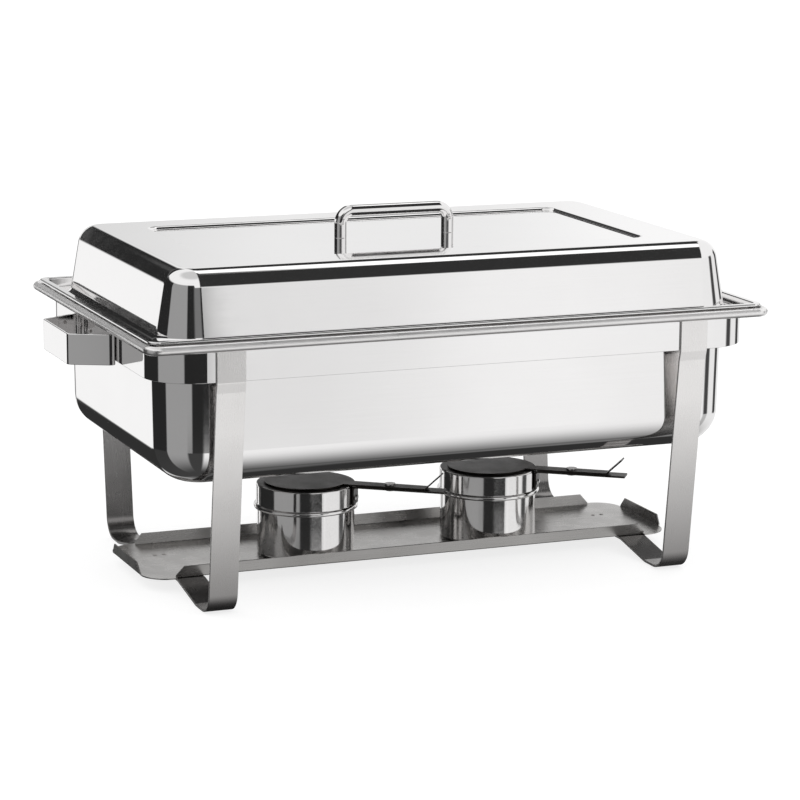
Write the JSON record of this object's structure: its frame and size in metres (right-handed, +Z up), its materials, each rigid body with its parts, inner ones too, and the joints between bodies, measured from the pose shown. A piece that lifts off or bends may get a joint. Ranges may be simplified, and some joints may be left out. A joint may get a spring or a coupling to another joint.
{
  "type": "chafing dish food warmer",
  "caption": "Rectangular chafing dish: a water pan in a bent strip frame, a food pan and a lid with a handle above it, and gel burners with swinging snuffers on a tray underneath.",
  "frame": {"origin": "on the floor under the centre of the warmer, halfway along its length and width", "axes": "+X along the length towards the right end seen from the front, +Y to the back, +Z up"},
  "size_m": [0.59, 0.339, 0.3017],
  "materials": {
    "polished_steel": "mirror polish",
    "pan_steel": "bright polish with a soft sheen",
    "satin_steel": "satin, fine lengthwise grain",
    "burner_steel": "bright polish, lightly worn",
    "dark_steel": "heat-darkened satin",
    "fastener_steel": "bright plain steel",
    "weld_mark": "dull spot weld",
    "tin_plate": "tin plated, satin",
    "fuel_gel": "clear soft gel"
  },
  "bodies": {
    "frame": {"support_ring": "polished_steel", "leg_left": "satin_steel", "leg_right": "satin_steel", "handle_left": "polished_steel", "handle_right": "polished_steel", "burner_tray": "satin_steel", "spot_welds": "weld_mark"},
    "water_pan": {"water_pan": "polished_steel"},
    "food_pan": {"food_pan": "pan_steel"},
    "lid": {"lid_shell": "polished_steel", "lid_handle": "polished_steel", "lid_handle_washers": "fastener_steel", "lid_handle_screws": "fastener_steel"},
    "burner_left": {"burner_cup_left": "burner_steel", "burner_cover_left": "burner_steel", "burner_handle_left": "dark_steel", "handle_rivets_left": "fastener_steel", "pivot_rivet_left": "fastener_steel"},
    "snuffer_left": {"snuffer_lever_left": "dark_steel"},
    "fuel_left": {"fuel_can_left": "tin_plate", "fuel_gel_left": "fuel_gel"},
    "burner_right": {"burner_cup_right": "burner_steel", "burner_cover_right": "burner_steel", "burner_handle_right": "dark_steel", "handle_rivets_right": "fastener_steel", "pivot_rivet_right": "fastener_steel"},
    "snuffer_right": {"snuffer_lever_right": "dark_steel"},
    "fuel_right": {"fuel_can_right": "tin_plate", "fuel_gel_right": "fuel_gel"}
  },
  "joints": [
    {"name": "water_pan_lift", "type": "slide", "parent": "frame", "child": "water_pan", "axis": [0, 0, 1], "range_m": [0, 0.14]},
    {"name": "food_pan_lift", "type": "slide", "parent": "water_pan", "child": "food_pan", "axis": [0, 0, 1], "range_m": [0, 0.09]},
    {"name": "lid_lift", "type": "slide", "parent": "food_pan", "child": "lid", "axis": [0, 0, 1], "range_m": [0, 0.12]},
    {"name": "burner_left_lift", "type": "slide", "parent": "frame", "child": "burner_left", "axis": [0, 0, 1], "range_m": [0, 0.015]},
    {"name": "snuffer_left_pivot", "type": "hinge", "parent": "burner_left", "child": "snuffer_left", "pos_m": [-0.02444, -0.05591, 0.0724], "axis": [0, 0, 1], "range_deg": [0, 55]},
    {"name": "fuel_left_lift", "type": "slide", "parent": "burner_left", "child": "fuel_left", "axis": [0, 0, 1], "range_m": [0, 0.008]},
    {"name": "burner_right_lift", "type": "slide", "parent": "frame", "child": "burner_right", "axis": [0, 0, 1], "range_m": [0, 0.015]},
    {"name": "snuffer_right_pivot", "type": "hinge", "parent": "burner_right", "child": "snuffer_right", "pos_m": [0.14256, -0.05591, 0.0724], "axis": [0, 0, 1], "range_deg": [0, 55]},
    {"name": "fuel_right_lift", "type": "slide", "parent": "burner_right", "child": "fuel_right", "axis": [0, 0, 1], "range_m": [0, 0.008]}
  ]
}
